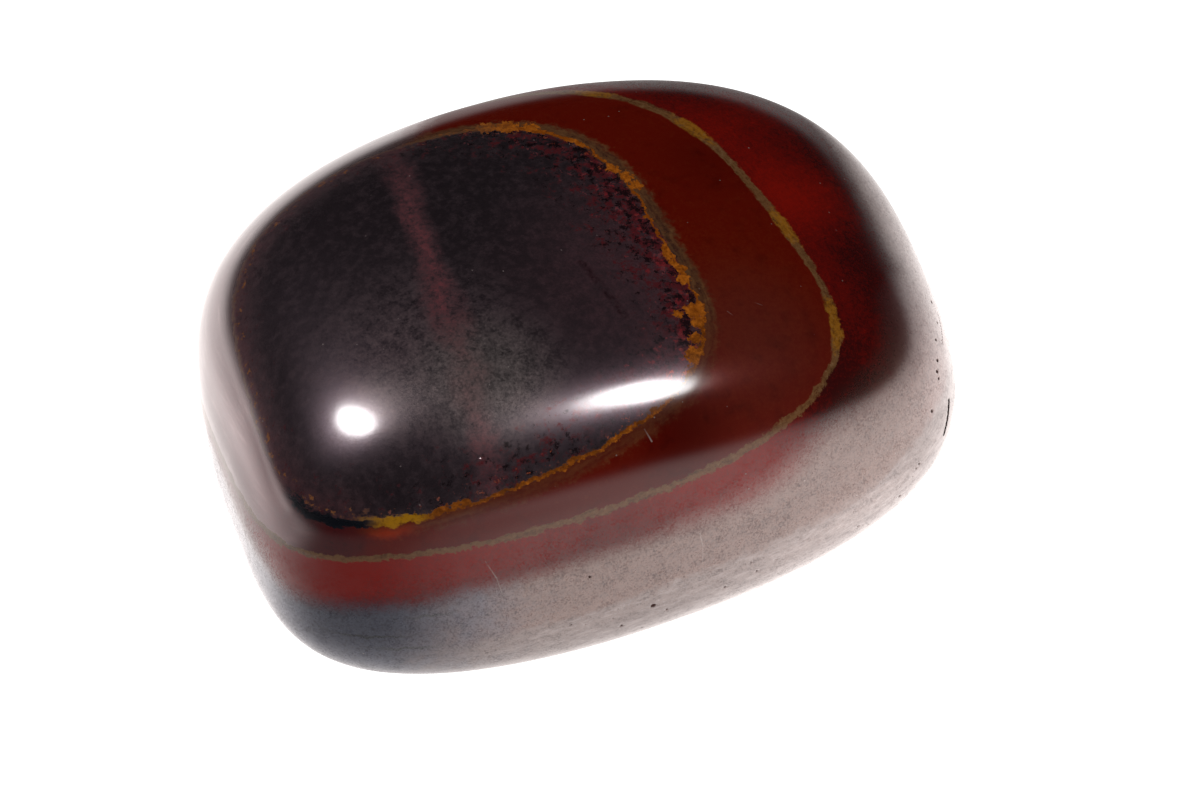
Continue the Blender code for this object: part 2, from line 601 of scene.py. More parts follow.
# Pits and the crack darken with depth, from the first tint to the second
SHALLOW_SUNKEN_TINT = (0.085, 0.045, 0.040)
DEEP_SUNKEN_TINT = (0.006, 0.004, 0.004)
SCRATCHED = (0.420, 0.340, 0.310)
DUST = (0.300, 0.240, 0.220)


# Where the markings gather: a middle and a radius, in millimetres of the frame

RUDDY_HEM = (12.6, -5.5, 13.0), 6.0
DULL_HEM = (12.6, -4.5, 13.3), 5.0
BRIGHT_EAST = (11.5, 0.6, 15.2), 4.2
BRIGHT_BACK = (10.5, 5.6, 15.5), 4.5
BRIGHT_WEST = (-17.0, -8.6, 11.4), 5.0
DARK_CORNER = (8.4, -9.9, 13.8), 5.2
DARK_FRONT = (-3.9, -11.9, 12.6), 6.0
BROWN_MIDDLE = (5.5, -6.0, 16.5), 7.5
DUSK_FRONT = (0.5, -10.7, 15.2), 3.6
DUSK_BACK = (7.5, 3.0, 16.6), 3.5
# Around the front lamp's highlight on the red ring: painted highlight glow
JASPER_HIGHLIGHT_GLOW = (5.0, -8.2, 16.3), 6.5
BLUSH = (2.6, -3.0, 18.0), 9.5
VEIL_WEST = (-9.3, -4.0, 18.2), 7.0
VEIL_FRONT = (-6.4, -7.0, 18.0), 5.0
# Around and between the two lamps' highlights on the cap: painted highlight glow
HIGHLIGHT_GLOW_MIDDLE = (-7.2, -6.6, 18.1), 4.2
HIGHLIGHT_GLOW_WEST = (-11.6, -6.0, 17.7), 2.6
# Where the front lamp's highlight falls on the cap: a painted highlight, with fewer flecks and no dark
# fleck sheen there
CAP_HIGHLIGHT_SPOT = (-0.9, -9.1, 17.0), 5.0
OCHRE_LOBE = (4.4, -2.2, 17.6), 5.0
OCHRE_START = (-13.0, -9.9, 14.6), 3.4
YELLOW_START = (-13.0, -9.9, 14.6), 2.6
GLOWING_START = (-13.2, -10.1, 14.0), 2.0
INK_LENS = (-15.2, -8.2, 14.9), 3.0

# Where the olive vein is golden and swollen
GOLDEN_STRETCHES = [
    ((8.3, 5.5, 16.5), 2.4),
    ((9.9, -1.5, 15.9), 2.2),
    ((9.5, -7.2, 15.3), 2.4),
    ((4.5, 9.5, 16.5), 2.0),
]

# Where the ochre vein swells into clumps
VEIN_CLUMPS = [
    ((3.15, -6.0, 17.5), 0.80),
    ((3.0, -6.6, 17.4), 0.60),
    ((2.6, -7.4, 17.3), 0.55),
    ((2.2, -8.1, 17.1), 0.70),
    ((3.3, -4.2, 17.7), 0.55),
    ((3.45, -3.6, 17.7), 0.50),
    ((3.5, 1.9, 17.8), 0.60),
    ((3.3, 2.6, 17.8), 0.60),
    ((2.9, 3.2, 17.8), 0.50),
    ((2.3, -6.0, 17.7), 0.42),
    ((-1.6, 8.0, 17.6), 0.80),
    ((-0.7, 7.7, 17.7), 0.90),
    ((0.3, 7.2, 17.8), 0.70),
]

# Dark lines in the bluer ore at the left end: height, middle along X and half length
ORE_LINES = [(8.2, -14.6, 2.8), (7.4, -13.2, 2.2), (9.3, -12.0, 1.6)]
ORE_LINE_HALF_WIDTH = 0.14

# A faint dark seam across the cap
SEAM_START = (-0.8, -2.1, 18.4)
SEAM_END = (-0.1, -5.6, 18.1)
SEAM_HALF_WIDTH = 0.20


class StoneMaterial:
    """Mixes the minerals' dull colour, mirror colour and haze through the whole stone."""

    def __init__(self, colours):
        self.colours = colours
        self.material = bpy.data.materials.new("polished_banded_ironstone")
        self.material.use_nodes = True
        self.tree = Tree(self.material.node_tree)
        self.shader = self.material.node_tree.nodes["Principled BSDF"]
        tree = self.tree
        metres = tree.node("ShaderNodeTexCoord", output="Object")
        self.place = tree.vector("MULTIPLY", metres, (1 / MILLIMETRE,) * 3)
        parts = tree.node("ShaderNodeSeparateXYZ", None, {"Vector": self.place}).socket.node.outputs
        self.x, self.y, self.z = (Value(tree, parts[axis]) for axis in range(3))
        self.drift = tree.noise(self.place, 0.35, 2.0)
        self.ripple = tree.noise(self.place, 1.3, 3.0, 0.55)
        self.mottle = tree.noise(self.place, 2.2, 5.0, 0.7)
        self.grain = tree.noise(self.place, 5.0, 4.0, 0.65)
        self.sparkle = tree.noise(self.place, 11.0, 2.0, 0.7)
        self.find_bands()

    def near(self, place, radius):
        """1 at a place, 0 beyond a radius of it, in millimetres."""
        distance = self.tree.vector("DISTANCE", self.place, place, output="Value")
        return distance.rise(radius, 0.0)

    def nearest(self, spots):
        """1 at any of some places, 0 beyond the radius of each."""
        first, *others = spots
        share = self.near(*first)
        for spot in others:
            share = share.most(self.near(*spot))
        return share

    def strands(self, across, scale, stretch=0.35):
        """Noise drawn out along a band, from its distance across."""
        flat = self.tree.vector("MULTIPLY", self.place, (stretch,) * 3)
        lifted = self.tree.node("ShaderNodeCombineXYZ", None, {2: across * scale})
        return self.tree.noise(self.tree.vector("ADD", flat, lifted), 1.0, 4.0, 0.6)

    def find_bands(self):
        """Signed distance along the surface from each sheet, above it positive."""
        tree = self.tree
        facing = tree.node("ShaderNodeTexCoord", output="Normal")
        tilt = tree.vector("DOT_PRODUCT", facing, SHEET_NORMAL, output="Value")
        slant = ((1 - tilt * tilt).most(0.0) ** 0.5).most(LEAST_SLANT)
        share_x = self.x / SHEET_LENGTH
        share_y = self.y / SHEET_WIDTH
        front_right = self.x.rise(3.0, 9.0) * self.y.rise(-3.0, -6.0)
        ore_top = sheet_height(ORE_SHEET, share_x, share_y) + front_right * 1.3
        self.below_ore = self.z - ore_top
        self.from_ochre = (self.z - sheet_height(OCHRE_SHEET, share_x, share_y)) / slant
        self.from_olive = (self.z - sheet_height(OLIVE_SHEET, share_x, share_y)) / slant
        self.from_ore = self.below_ore / slant
        eastward = self.x * 0.9 - self.y * 0.43 + self.ripple * 1.6
        self.east = eastward.rise(-9.8, -7.2)

    def build(self):
        """Lay the minerals over one another and give the finished material."""
        layers = self.ore()
        for add_layer in (
            self.outer_ring, self.inner_ring, self.cap, self.olive_vein, self.ochre_vein, self.marks
        ):
            layers = add_layer(*layers)
        self.finish(*layers)
        return self.material

    def ore(self):
        """Iron ore below the red rings: brown, bluer at the left, pale and pitted low down."""
        tree, colours = self.tree, self.colours
        blue = (self.x + self.drift * 5 + self.ripple * 3.0 + self.mottle * 3.0).rise(-6.0, -14.5)
        sheen = tree.blend(blue, colours.ore_sheen, colours.blue_sheen)
        dull = tree.blend(blue, colours.ore_body, colours.blue_body)
        pale = self.pale_band() * (1 - blue)
        sheen = tree.blend(pale, sheen, colours.pale_sheen)
        dull = tree.blend(pale, dull, colours.pale_body)

        clots = tree.noise(self.place, 1.0, 5.0, 0.75)
        level = self.below_ore * 1.3 + self.drift * 1.2
        layers = tree.noise(tree.node("ShaderNodeCombineXYZ", None, {0: self.x * 0.06, 2: level}), 1.0, 4.0)
        grainy = (self.sparkle * 2.4 + self.grain * 1.6 + clots * 1.2 + 0.15).most(0.0)
        shade = layers.rise(0.22, -0.22) * 0.20 + grainy
        scuffed = (self.sparkle * 4.5 + clots * 1.8 + self.mottle * 1.2 + 0.20).most(0.0).least(1.0) * 0.52
        drawn = tree.noise(tree.vector("MULTIPLY", self.place, (0.5, 0.5, 1.6)), 1.8, 5.0, 0.75)
        wisps = (drawn * 1.6 + self.grain * 0.8 + self.sparkle * 0.8).rise(0.02, 0.22) * pale
        blots = (drawn * -1.6 + self.grain * 0.8 + self.sparkle * 1.0).rise(0.06, 0.26) * pale
        self.scuff = (scuffed * (1 - wisps * 0.7)).most(blots * 0.30)
        sheen = tree.blend(shade, sheen, SHADED_ORE_SHEEN)
        sheen = tree.blend(wisps * 0.6, sheen, WISP_SHEEN)
        sheen = tree.blend(blots * 0.5, sheen, BLOT_SHEEN)

        inky = clots.rise(0.02, 0.20) * blue * 0.7
        sheen = tree.blend(inky, sheen, INKY_ORE_SHEEN)
        dull = tree.blend(inky, dull, INKY_ORE)
        right_end = self.x.rise(12.0, 15.0) * 0.5
        ruddy = right_end.most(self.near(*RUDDY_HEM) * 1.4) * (1 - pale)
        dull = tree.blend(ruddy * 0.6, dull, RUDDY_ORE)
        sheen = tree.blend(self.near(*DULL_HEM), sheen, HEM_SHEEN)
        rough = pale * 0.04 + 0.30 + self.grain * 0.20
        for height, middle, half_length in ORE_LINES:
            wavy = self.z - height + self.ripple * 0.6 + self.mottle * 0.3
            line = wavy.bell(0.0, ORE_LINE_HALF_WIDTH) * self.x.bell(middle, half_length)
            sheen = tree.blend(line, sheen, ORE_LINE_SHEEN)
            dull = tree.blend(line * 0.7, dull, ORE_LINE)
        return dull, sheen, rough

    def pale_band(self):
        """1 in the paler ore low on the stone, with a ragged upper edge."""
        height = self.z - self.x * 0.035 - self.x.rise(9.0, 15.0) * 1.1 + self.y.rise(-6.0, 6.0) * 1.2
        ragged = self.ripple * 0.8 + self.mottle * 0.8 + self.grain * 0.7
        return (height + self.drift * 0.5 + ragged).rise(7.85, 7.30)

    def outer_ring(self, dull, sheen, rough):
        """Red jasper outside the olive vein, fading softly into ore."""
        tree, colours = self.tree, self.colours
        edge = self.from_ore + self.drift * 0.6 + self.ripple * 0.4 + self.grain * 0.35
        soft = self.x.rise(-3.0, 5.0) * self.y.rise(-7.0, -10.0)
        inside = (edge * (1 - soft * 0.35)).rise(-1.1, 0.7)
        glassy = (edge * (1 - soft * 0.35) - soft * 0.35).rise(-1.4, 0.4)
        bright = self.from_olive.rise(-3.6, -0.2) * 0.42 + self.near(*BRIGHT_EAST) * 0.75
        bright = bright + self.near(*BRIGHT_BACK) * 0.45
        bright = bright + self.y.rise(-6.0, -10.5) * 0.5 + self.near(*BRIGHT_WEST) * 0.7
        bright = bright - self.near(*DARK_CORNER) * 0.90 - self.near(*DARK_FRONT) * 0.35
        bright = bright + self.mottle * 0.6 + self.grain * 0.8 + self.sparkle * 0.9 + self.ripple * 0.2
        red = tree.blend(bright, colours.dark_jasper, colours.outer_jasper)
        dull = tree.blend(inside, dull, red)
        self.red = glassy * (1 - self.x.rise(-15.0, -17.6) * 0.9)
        sheen = tree.blend(glassy, sheen, NO_SHEEN)
        rough = rough + (0.25 - rough) * inside
        return dull, sheen, rough

    def inner_ring(self, dull, sheen, rough):
        """Red-brown jasper between the two veins, pinching out to maroon ore at the left."""
        tree, colours = self.tree, self.colours
        inside = (self.from_olive + self.ripple * 0.2).rise(-0.06, 0.06)
        brown = self.near(*BROWN_MIDDLE) * 0.8 + self.mottle * 1.8 + self.grain * 1.8 + self.sparkle * 2.0
        red = tree.blend(brown, colours.inner_jasper, colours.inner_glow)
        dusk = self.near(*DUSK_FRONT) * 0.8 + self.near(*DUSK_BACK) * 0.4
        dusk = dusk + (self.ripple * -1.8 - self.drift * 0.8 - 0.05).most(0.0)
        red = tree.blend(dusk, red, DUSKY_JASPER)
        maroon = tree.blend(self.y.rise(-4.0, 4.0), colours.west, PALE_RIM)
        maroon = tree.blend((self.mottle * 2.0 + self.grain).most(0.0), maroon, DARK_RIM)
        red = tree.blend(self.east, maroon, red)
        glassy = self.east.most(self.y.rise(-7.6, -9.0))
        drawn = self.strands(self.from_olive, 1.6).rise(0.0, 0.25)
        shine = tree.blend(drawn * 0.7, RIM_SHEEN, RIM_WISP_SHEEN)
        shine = tree.blend(glassy, shine, NO_SHEEN)
        # Painted highlight glow: a faint mirror colour on the red ring only around the front lamp's
        # highlight
        shine = tree.blend(self.near(*JASPER_HIGHLIGHT_GLOW) * self.east, shine, JASPER_HIGHLIGHT_GLOW_SHEEN)
        self.red = self.red + (glassy - self.red) * inside
        return tree.blend(inside, dull, red), tree.blend(inside, sheen, shine), rough

    def cap(self, dull, sheen, rough):
        """Dark cap of ore inside the ochre vein, with its maroon streak, cloud and red flecks, and painted
        highlight glow around and between the lamps' highlights.
        """
        tree, colours = self.tree, self.colours
        inside = (self.from_ochre + self.ripple * 0.3 + self.grain * 0.15).rise(-0.08, 0.08)
        fine = tree.noise(self.place, 8.0, 3.0, 0.75)
        coarse = tree.noise(self.place, 1.1, 5.0, 0.75)
        light = (fine * 1.8).most(-0.12)
        deep = fine.least(0.10)
        purple = (self.mottle + coarse).rise(-0.15, 0.45) * 0.35
        body = tree.blend(purple, colours.cap_body, colours.cap_cloud)
        blush = self.near(*BLUSH) * (coarse * 1.6 + self.mottle * 1.0 + 0.90)
        body = tree.blend(blush, body, CAP_BLUSH)
        body = tree.blend((deep * 2.2 + coarse * 0.6 + 0.16) * 0.75, body, CAP_PITH)
        clots = tree.noise(self.place, 1.7, 4.0, 0.7).rise(-0.10, 0.14)
        veil = self.near(*VEIL_WEST) + self.near(*VEIL_FRONT)
        cloud = veil.least(1.0) * (clots * 0.35 + coarse * 0.5 + light + self.grain * 0.9 + 0.16)
        body = tree.blend(cloud, body, CAP_VEIL)
        body = self.streak(body, fine)
        rim = self.from_ochre.rise(2.6, 0.3) * (1 - self.east) * (self.mottle * 2.0 + 0.6)
        body = tree.blend(rim, body, CAP_EDGE)
        broken = self.mottle * 2.0 + self.grain * 2.0 + 0.35
        seam = self.scratch(SEAM_START, SEAM_END, SEAM_HALF_WIDTH) * broken
        body = tree.blend(seam, body, SEAM)
        body, dulled = self.flecks(body)
        dull = tree.blend(inside, dull, body)

        # Painted highlight: the flecks' dark sheen is left out where the front lamp's highlight falls
        flecked = dulled.most(seam) * (1 - self.highlight_spot)
        shine = tree.blend(flecked * 0.9, colours.cap_sheen, FLECKED_SHEEN)
        grainy = (deep * 2.0 + self.grain * 1.4 + coarse * 1.0 + 0.15) * 0.7
        shine = tree.blend(grainy, shine, GRAINY_SHEEN)
        lip = self.from_ochre.rise(1.6, 0.2) * (1 - self.east)
        shine = tree.blend(lip * 0.7, shine, LIP_SHEEN)
        # Painted highlight glow: a brighter mirror colour around and between the two lamps' highlights
        highlight_glow = self.near(*HIGHLIGHT_GLOW_MIDDLE) * 1.20 + self.near(*HIGHLIGHT_GLOW_WEST) * 0.5
        highlight_glow = highlight_glow * (light * 0.5 + self.grain * 0.6 + 0.95)
        shine = tree.blend(highlight_glow, shine, HIGHLIGHT_GLOW_SHEEN)
        sheen = tree.blend(inside, sheen, shine)
        self.red = self.red * (1 - self.from_ochre.rise(-0.5, -0.2))
        self.scuff = self.scuff * (1 - self.from_olive.rise(-1.0, 0.0))
        haze = fine.rise(-0.3, 0.3) * 0.10 + self.mottle * 0.12 + 0.28
        rough = rough + (haze - rough) * inside
        return dull, sheen, rough

    def streak(self, body, fine):
        """The maroon streak across the cap, with a brighter thread along its middle."""
        tree = self.tree
        across = self.x + 7.15 - self.y * 0.11 + self.drift * 1.6 + self.ripple * 0.9
        strength = (self.y.rise(-8.0, 2.0) * 0.35 + 0.6) * (1 - self.y.rise(3.0, 9.0) * 0.5)
        broken = self.mottle * 2.2 + self.grain * 2.0 + fine * 1.4 + 0.78
        body = tree.blend(across.bell(-0.1, 1.15) * broken * strength, body, self.colours.streak)
        thread = (across + self.mottle * 1.8).bell(0.1, 0.22) * self.mottle.rise(-0.05, 0.15)
        thread = thread * self.y.bell(-0.5, 7.5)
        return tree.blend(thread * 0.7, body, STREAK_THREAD)

    def flecks(self, body):
        """Red and dark flecks, thickest beside the ochre vein, and how much they dull the sheen."""
        tree = self.tree
        zone = (self.x * 0.9 - self.y * 0.43).rise(-12.0, 2.0) * 0.75 + 0.25
        reach = self.from_ochre.rise(6.0, 0.0) * zone * (1 - self.y.rise(-7.5, -9.5) * 0.35)
        # Painted highlight: flecks thin out where the front lamp's highlight falls, so it stays white and
        # shows fewer red flecks lit by that lamp
        self.highlight_spot = self.near(*CAP_HIGHLIGHT_SPOT).rise(0.1, 0.5)
        patchy = tree.noise(self.place, 2.0, 5.0, 0.72)
        patches = (patchy + reach * 0.26).rise(0.13, 0.28) * reach.rise(0.0, 0.3)
        patches = patches * (1 - self.highlight_spot * 0.6)
        body = tree.blend(patches * 0.85, body, self.colours.fleck)
        specks = tree.noise(self.place, 2.7, 4.0, 0.75)
        ruby = (specks + reach * 0.18).rise(0.20, 0.29) * reach.rise(0.2, 0.6)
        body = tree.blend(ruby * 0.85, body, RUBY)
        gaps = tree.noise(self.place, 2.6, 4.0, 0.75)
        dark = (gaps + reach * 0.16).rise(0.12, 0.24) * reach.rise(0.1, 0.4)
        body = tree.blend(dark * 0.85, body, DARK_FLECK)
        embers = (specks + self.from_ochre.rise(1.9, 0.1) * 0.16).rise(0.24, 0.29)
        embers = embers * self.from_ochre.rise(2.4, 1.0) * self.east
        return tree.blend(embers * 0.9, body, EMBER), patches.most(dark)

    def olive_vein(self, dull, sheen, rough):
        """Thin olive vein with golden, swollen stretches."""
        tree, colours = self.tree, self.colours
        gold = self.nearest(GOLDEN_STRETCHES)
        middle = self.from_olive + self.ripple * 0.5 + self.mottle * 0.4 + self.grain * 0.35
        strands = self.strands(middle, 6.0)
        plain = self.y.rise(-9.0, 1.0) * 0.11 + self.y.rise(1.0, 7.0) * 0.07 + 0.17
        width = self.drift * 0.2 + gold * 0.12 + plain + self.grain * 0.12
        vein = (abs(middle) / width).rise(1.35, 0.75)
        crumbs = tree.noise(self.place, 3.6, 4.0, 0.8)
        golden = (gold * 1.0 + self.mottle * 1.6 + strands * 1.0 + crumbs * 1.0).rise(0.3, 0.75)
        shade = tree.blend(golden, colours.olive, colours.gold)
        shade = tree.blend(crumbs.rise(0.05, 0.20) * 0.6, shade, OLIVE_CRUMB)
        shade = tree.blend((strands * 3.0 - crumbs * 4.0 + 0.15).most(0.0) * 0.8, shade, OLIVE_GAP)
        dull = tree.blend(vein * 0.92, dull, shade)
        sheen = tree.blend(vein, sheen, NO_SHEEN)
        rough = rough + (0.30 - rough) * vein
        return dull, sheen, rough

    def ochre_vein(self, dull, sheen, rough):
        """Clumpy orange vein with an olive-brown halo on its outer side."""
        tree, colours = self.tree, self.colours
        lobe = self.near(*OCHRE_LOBE)
        middle = self.from_ochre + self.ripple * 0.55 + self.mottle * 0.25 - lobe * 0.12
        strands = self.strands(middle, 5.5)
        clumps = tree.noise(self.place, 0.8, 3.0, 0.6).rise(0.0, 0.15)
        crumbs = tree.noise(self.place, 3.0, 4.0, 0.75)
        front = self.y.rise(-5.0, -8.5)
        top = self.y.rise(4.0, 8.0)
        fuzz = self.grain * 0.7 + self.mottle * 0.5
        halo = (middle + fuzz - lobe * 0.10).rise(-0.82, -0.36)
        halo = halo * (middle + crumbs * 0.3).rise(0.30, 0.08)
        halo = halo * self.east * (1 - front * 0.55)
        brown = (strands * 2.4 + crumbs * 2.2 + 0.60).most(0.0)
        dull = tree.blend(halo * 0.85, dull, tree.blend(brown, colours.olive, HALO_BROWN))
        sheen = tree.blend(halo, sheen, NO_SHEEN)

        centre = clumps * 0.10 + lobe * 0.34 + 0.02
        width = clumps * (lobe * 0.10 + 0.14) * (1 - front * 0.6)
        width = width + self.near(*OCHRE_START) * 0.14 + top * 0.08 + front * 0.03 + 0.055
        core = (abs(middle - centre + crumbs * 0.5 + strands * 0.25) / width).rise(1.25, 0.80)
        core = core * self.east
        clump = self.nearest(VEIN_CLUMPS)
        clump = (clump + crumbs * 2.0 + self.grain * 1.6).rise(0.36, 0.50) * clump.rise(0.0, 0.2)
        core = core.most(clump)
        bright = strands * 2.0 + crumbs * 3.4 + clumps * 0.4 + clump * 0.35 + 0.10
        shade = tree.blend(bright, colours.ochre, colours.bright_ochre)
        shade = tree.blend(front * (0.55 - crumbs * 2.5 - strands), shade, DEEP_OCHRE)
        shade = tree.blend(self.near(*YELLOW_START).rise(0.1, 0.6), shade, colours.yellow)
        shade = tree.blend((self.grain * 4.0 + strands * 1.8 - 0.05).most(0.0) * 0.85, shade, OCHRE_GAP)
        faded = self.y.rise(6.0, 8.0) * self.x.rise(0.5, -3.5)
        shade = tree.blend(faded * (0.75 - crumbs * 2.0), shade, FADED_OCHRE)
        dull = tree.blend(core, dull, shade)
        sheen = tree.blend(core, sheen, NO_SHEEN)
        rough = rough + (0.40 - rough) * core
        glow = self.near(*GLOWING_START) * (middle + 0.45).bell(0.0, 0.4) * self.east
        dull = tree.blend(glow * 0.8, dull, ORANGE_GLOW)
        dull, sheen = self.vein_end(dull, sheen, middle, strands, crumbs)
        return dull, sheen, rough

    def vein_end(self, dull, sheen, middle, strands, crumbs):
        """The ochre vein's left end: an inky lens, then specks and a thin broken line."""
        tree = self.tree
        west = 1 - self.east
        ragged = middle + strands * 0.9 + crumbs * 0.5
        lens = self.near(*INK_LENS).rise(0.0, 0.4) * (ragged + 0.12).bell(0.0, 0.42).rise(0.25, 0.6)
        dull = tree.blend(lens, dull, self.colours.ink)
        sheen = tree.blend(lens * 0.6, sheen, INK_SHEEN)
        strewn = tree.noise(self.place, 2.4, 4.0, 0.75).rise(0.06, 0.12)
        specks = strewn * (middle - 0.42).bell(0.0, 0.42).rise(0.1, 0.5) * west
        dull = tree.blend(specks * 0.9, dull, OCHRE_SPECK)
        sheen = tree.blend(specks * 0.9, sheen, NO_SHEEN)
        thin = (middle + crumbs * 0.4).bell(0.1, 0.16) * west * self.y.rise(-6.5, -3.0)
        thin = thin * (self.mottle * 2.0 + 0.7)
        dull = tree.blend(thin * 0.8, dull, THIN_OCHRE)
        return dull, sheen

    def scratch(self, start, end, half_width):
        """1 on a straight line between two places, 0 a little beyond half_width of it."""
        span = Vector(end) - Vector(start)
        arm = self.tree.vector("SUBTRACT", self.place, start)
        share = self.tree.vector("DOT_PRODUCT", arm, span / span.length_squared, output="Value")
        foot = self.tree.vector("MULTIPLY", span, share.most(0.0).least(1.0))
        distance = self.tree.vector("DISTANCE", arm, foot, output="Value")
        return distance.rise(half_width * 1.4, half_width * 0.4)

    def marks(self, dull, sheen, rough):
        """Pits and the crack darker by their depth, light scratches, and a little dust on the polish."""
        tree = self.tree
        wear = tree.node("ShaderNodeAttribute", {"attribute_name": WEAR}, output="Fac")
        for start, end in ((CRACK.start, CRACK.middle), (CRACK.middle, CRACK.end)):
            wear = wear.most(self.scratch(start, end, CRACK.half_width) * CRACK.depth)
        # Pits and the crack are darker by their depth, darkest where deepest, and lose their sheen
        self.sunken = wear.rise(0.012, 0.045)
        sunken_tint = tree.blend(wear.rise(0.06, 0.14), SHALLOW_SUNKEN_TINT, DEEP_SUNKEN_TINT)
        dull = tree.blend(self.sunken, dull, sunken_tint)
        sheen = tree.blend(self.sunken, sheen, NO_SHEEN)
        rough = rough + (0.6 - rough) * self.sunken
        for start, end, half_width, strength in SCRATCHES:
            line = self.scratch(start, end, half_width) * (self.grain * 2.0 + 0.8) * strength
            dull = tree.blend(line, dull, SCRATCHED)
        dust = tree.spots(self.place, 0.9).rise(0.045, 0.025) * 0.7
        dull = tree.blend(dust, dull, DUST)
        return dull, sheen, rough

    def finish(self, dull, sheen, rough):
        """A dull and a hazy mirror part, by the metallic share, under one clear polished skin."""
        tree, shader = self.tree, self.shader
        whole = tree.vector("ADD", dull, sheen)
        grey = (1 / 3, 1 / 3, 1 / 3)
        sheen_grey = tree.vector("DOT_PRODUCT", sheen, grey, output="Value")
        whole_grey = tree.vector("DOT_PRODUCT", whole, grey, output="Value")
        polish = (1 - self.red * 0.6) * (1 - self.sunken) * (1 - self.scuff)
        tree.feed(shader.inputs["Base Color"], whole)
        tree.feed(shader.inputs["Metallic"], sheen_grey / whole_grey)
        tree.feed(shader.inputs["Roughness"], rough)
        tree.feed(shader.inputs["Coat Weight"], polish)
        shader.inputs["Coat IOR"].default_value = 2.0
        shader.inputs["Coat Roughness"].default_value = 0.15
        shader.inputs["Specular IOR Level"].default_value = 0.0
        bump = tree.node(
            "ShaderNodeBump",
            None,
            {"Height": self.grain, "Distance": 0.00002, "Strength": 0.06},
        )
        tree.feed(shader.inputs["Normal"], bump)


# The stage

Lamp = namedtuple("Lamp", "mirror way turn long short")
LAMPS = [
    Lamp((-13.1, -6.1, 17.2), (-0.472, 0.220, 0.854), 46.0, 0.196, 0.108),
    Lamp((-0.9, -9.1, 17.0), (0.406, -0.451, 0.795), 68.0, 0.160, 0.112),
]
CAMERA_AIM = (0.15, -1.97, 8.0)
WORLD_GLOW = 0.20
WORLD_IN_POLISH = 0.02
WORLD_SEEN = 1.05
MIRRORED_TINT = (1.0, 0.935, 0.915)
FLOOR_STRENGTH = 2.5

# Where the floor is dimmer in the stone's polish, or brighter where the depth is below zero:
# middle, radii and depth, in millimetres
DIM_PATCHES = [
    (-28, 8, 12, 12, 0.45),
    (-12, -24, 9, 10, -0.22),
    (-72, 16, 66, 44, 0.62),
    (-78, 38, 36, 24, 0.60),
    (-150, 105, 75, 75, 0.60),
    (42, 38, 75, 44, 0.34),
    (115, 58, 55, 40, 0.75),
    (36, 0, 44, 32, -0.28),
    (-34, 22, 13, 13, -0.18),
    (-6, -75, 34, 42, 0.45),
    (16, -18, 9, 7, -0.35),
    (1, -16, 8, 5, 0.15),
]


def mirrored_floor(x, y):
    """How bright a place of the floor is in the stone's polish, by its millimetres."""
    reach = ((x + 35) ** 2.0 + (y + 15) ** 2.0) ** 0.5
    lit = (1 - reach / 310.0).most(0.0) ** 1.35 * 1.22 + reach.rise(700.0, 180.0) * 0.04

    # Painted shadow of the viewer: a dark wedge that opens from the stone towards the viewer
    away = (x + 12) * -0.558 - y * 0.83
    aside = abs((x + 12) * 0.83 - y * 0.558) / (away.most(0.0) + 6.0)
    shade = aside.rise(0.88, 0.15) * away.rise(0.0, 24.0) * 0.94

    # Brighter beyond the stone's ends than beyond its long sides, with one dim corner
    lengthwise = (x * 0.819 - y * 0.574) ** 2.0
    crosswise = (x * 0.574 + y * 0.819) ** 2.0
    lobes = (lengthwise - crosswise) / (lengthwise + crosswise + 1.0) * 0.35 + 1.30
    corner = y.rise(16.0, -8.0) * x.rise(-18.0, -34.0) * 0.65
    mirrored = lit * (1 - shade) * (1 - corner) * lobes
    for middle_x, middle_y, radius_x, radius_y, depth in DIM_PATCHES:
        distance = (((x - middle_x) / radius_x) ** 2.0 + ((y - middle_y) / radius_y) ** 2.0) ** 0.5
        mirrored = mirrored * (1 - distance.rise(1.0, 0.0) * depth)
    return mirrored


def make_floor(studio):
    """A plain pale floor that glows white to the camera; in the stone's polish its glow carries painted
    light and shade.
    """
    bm = bmesh.new()
    bmesh.ops.create_grid(bm, x_segments=2, y_segments=2, size=studio.floor_size / 2)
    mesh = bpy.data.meshes.new("floor")
    bm.to_mesh(mesh)
    bm.free()
    material = bpy.data.materials.new("pale_floor")
    material.use_nodes = True
    tree = Tree(material.node_tree)
    metres = tree.node("ShaderNodeTexCoord", output="Object")
    place = tree.node("ShaderNodeSeparateXYZ", None, {"Vector": metres}).socket.node.outputs
    x, y = (Value(tree, place[axis]) / MILLIMETRE for axis in range(2))
    mirrored = mirrored_floor(x, y)
    seen = tree.node("ShaderNodeLightPath", output="Is Camera Ray")
    shader = material.node_tree.nodes["Principled BSDF"]
    shader.inputs["Base Color"].default_value = (0.6, 0.6, 0.6, 1.0)
    shader.inputs["Roughness"].default_value = 0.9
    shader.inputs["Specular IOR Level"].default_value = 0.0
    pattern = tree.vector("MULTIPLY", MIRRORED_TINT, mirrored / FLOOR_STRENGTH)
    tree.feed(shader.inputs["Emission Color"], pattern)
    shader.inputs["Emission Strength"].default_value = FLOOR_STRENGTH
    white = tree.node("ShaderNodeEmission", None, {"Strength": studio.floor_glow})
    lit_floor = Value(tree, shader.outputs["BSDF"])
    surface = tree.node("ShaderNodeMixShader", None, {"Fac": seen, 1: lit_floor, 2: white})
    tree.feed(material.node_tree.nodes["Material Output"].inputs["Surface"], surface)
    mesh.materials.append(material)
    floor = bpy.data.objects.new("floor", mesh)
    bpy.context.scene.collection.objects.link(floor)


